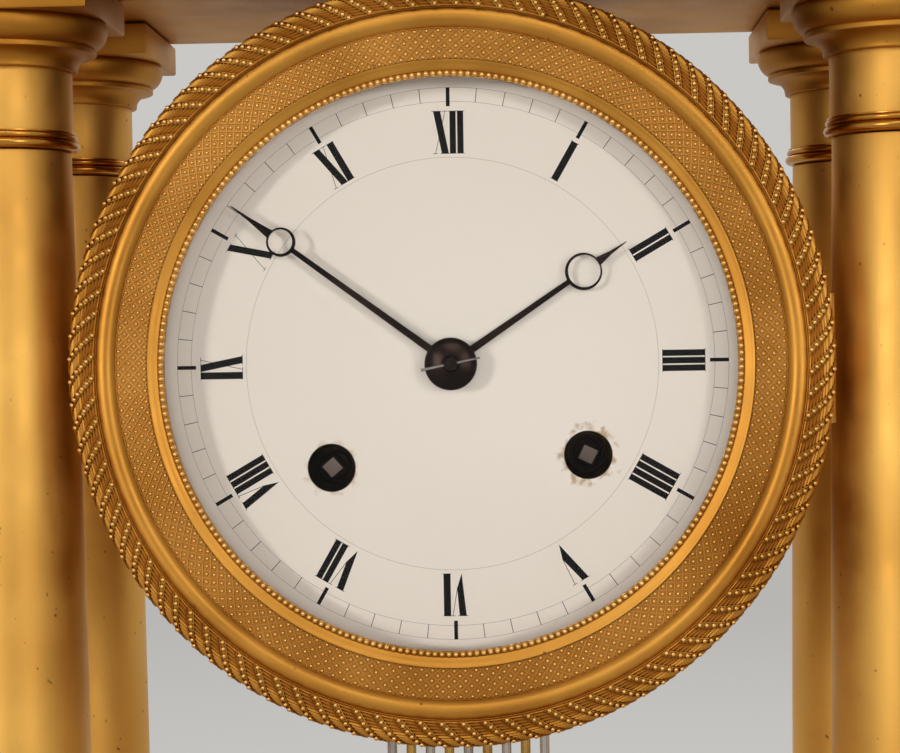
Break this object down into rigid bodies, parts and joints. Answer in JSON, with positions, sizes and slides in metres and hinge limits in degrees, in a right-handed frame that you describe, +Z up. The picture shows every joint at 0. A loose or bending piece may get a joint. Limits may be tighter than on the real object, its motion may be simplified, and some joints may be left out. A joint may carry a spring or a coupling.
{
  "type": "portico clock",
  "caption": "Portico mantel clock in gilt bronze: a round enamel dial and striking movement hung between four columns, with a gridiron pendulum behind.",
  "frame": {"origin": "middle of the underside, between the four feet", "axes": "+Z up, the dial faces -Y, +X to the right as one faces the dial"},
  "size_m": [0.2, 0.108, 0.3491],
  "materials": {
    "gilt_bronze": "fire-gilt, burnished and matt",
    "satin_gilt": "satin gilt",
    "chased_gilt": "chased and engine-turned gilt",
    "brass": "polished brass",
    "steel": "polished steel",
    "blued_steel": "blackened steel",
    "bell_metal": "turned bell bronze",
    "enamel": "fired white enamel",
    "glass": "clear domed glass"
  },
  "bodies": {
    "case": {"foot_front_left": "gilt_bronze", "column_base_front_left": "gilt_bronze", "column_shaft_front_left": "satin_gilt", "capital_front_left": "gilt_bronze", "tie_rod_front_left": "steel", "foot_front_right": "gilt_bronze", "column_base_front_right": "gilt_bronze", "column_shaft_front_right": "satin_gilt", "capital_front_right": "gilt_bronze", "tie_rod_front_right": "steel", "foot_back_left": "gilt_bronze", "column_base_back_left": "gilt_bronze", "column_shaft_back_left": "satin_gilt", "capital_back_left": "gilt_bronze", "tie_rod_back_left": "steel", "foot_back_right": "gilt_bronze", "column_base_back_right": "gilt_bronze", "column_shaft_back_right": "satin_gilt", "capital_back_right": "gilt_bronze", "tie_rod_back_right": "steel", "plinth": "gilt_bronze", "plinth_step": "gilt_bronze", "entablature": "gilt_bronze", "cornice": "gilt_bronze", "drum_hanger": "gilt_bronze", "dial_ring": "gilt_bronze", "rear_ring": "gilt_bronze", "dial": "enamel", "drum_shell": "brass", "dial_plate": "brass", "front_plate": "brass", "back_plate": "brass", "pendulum_cock": "brass", "bell_stand": "brass", "bell_nut": "brass", "hinge_pin": "steel", "bell": "bell_metal"},
    "bezel_door": {"bezel": "chased_gilt", "bezel_glass": "glass"},
    "going_barrel": {"going_barrel": "brass"},
    "strike_barrel": {"strike_barrel": "brass"},
    "going_winding": {"going_winding_arbor": "steel"},
    "strike_winding": {"strike_winding_arbor": "steel"},
    "centre_arbor": {"centre_arbor": "brass", "minute_hand": "blued_steel", "hand_collet": "blued_steel", "hand_pin": "steel"},
    "hour_wheel": {"hour_wheel": "brass", "hour_hand": "blued_steel"},
    "minute_wheel": {"minute_wheel": "brass"},
    "escape_wheel": {"escape_wheel": "brass"},
    "crutch": {"anchor": "steel", "crutch": "steel"},
    "pendulum": {"suspension_spring": "steel", "pendulum_gridiron": "steel", "pendulum_bob": "gilt_bronze"},
    "rating_nut": {"rating_nut": "brass"},
    "count_wheel": {"count_wheel": "brass"},
    "hammer": {"hammer": "steel"}
  },
  "joints": [
    {"name": "bezel_hinge", "type": "hinge", "parent": "case", "child": "bezel_door", "pos_m": [0.0613, -0.0354, 0.232], "axis": [0, 0, 1], "range_deg": [0, 80]},
    {"name": "minute_hand_turn", "type": "hinge", "parent": "case", "child": "centre_arbor", "pos_m": [0, -0.02, 0.232], "axis": [0, 1, 0], "continuous": true},
    {"name": "hour_hand_turn", "type": "hinge", "parent": "case", "child": "hour_wheel", "pos_m": [0, -0.026, 0.232], "axis": [0, 1, 0], "continuous": true},
    {"name": "minute_wheel_turn", "type": "hinge", "parent": "case", "child": "minute_wheel", "pos_m": [0, -0.022, 0.246], "axis": [0, 1, 0], "continuous": true},
    {"name": "going_winding_turn", "type": "hinge", "parent": "case", "child": "going_winding", "pos_m": [0.02227, -0.02, 0.21665], "axis": [0, 1, 0], "continuous": true},
    {"name": "strike_winding_turn", "type": "hinge", "parent": "case", "child": "strike_winding", "pos_m": [-0.02015, -0.02, 0.2151], "axis": [0, 1, 0], "continuous": true},
    {"name": "going_barrel_turn", "type": "hinge", "parent": "case", "child": "going_barrel", "pos_m": [0.02227, 0, 0.21665], "axis": [0, 1, 0], "continuous": true},
    {"name": "strike_barrel_turn", "type": "hinge", "parent": "case", "child": "strike_barrel", "pos_m": [-0.02015, 0, 0.2151], "axis": [0, 1, 0], "continuous": true},
    {"name": "escape_wheel_turn", "type": "hinge", "parent": "case", "child": "escape_wheel", "pos_m": [0, -0.002, 0.2545], "axis": [0, 1, 0], "continuous": true},
    {"name": "pendulum_swing", "type": "hinge", "parent": "case", "child": "pendulum", "pos_m": [0, 0.024, 0.266], "axis": [0, -1, 0], "range_deg": [-4, 4]},
    {"name": "crutch_swing", "type": "hinge", "parent": "case", "child": "crutch", "pos_m": [0, 0.017, 0.266], "axis": [0, -1, 0], "range_deg": [-4, 4]},
    {"name": "rating_nut_turn", "type": "hinge", "parent": "pendulum", "child": "rating_nut", "pos_m": [0, 0.024, 0.0647], "axis": [0, 0, 1], "continuous": true},
    {"name": "count_wheel_turn", "type": "hinge", "parent": "case", "child": "count_wheel", "pos_m": [-0.024, 0.016, 0.238], "axis": [0, 1, 0], "continuous": true},
    {"name": "hammer_lift", "type": "hinge", "parent": "case", "child": "hammer", "pos_m": [-0.031, 0.016, 0.206], "axis": [0, -1, 0], "range_deg": [-2, 12], "stiffness_Nm_per_rad": 0.02}
  ],
  "couplings": [
    {"joint": "hour_hand_turn", "follows": "minute_hand_turn", "ratio": 0.083333},
    {"joint": "minute_wheel_turn", "follows": "minute_hand_turn", "ratio": -0.33333},
    {"joint": "crutch_swing", "follows": "pendulum_swing", "ratio": 1}
  ]
}
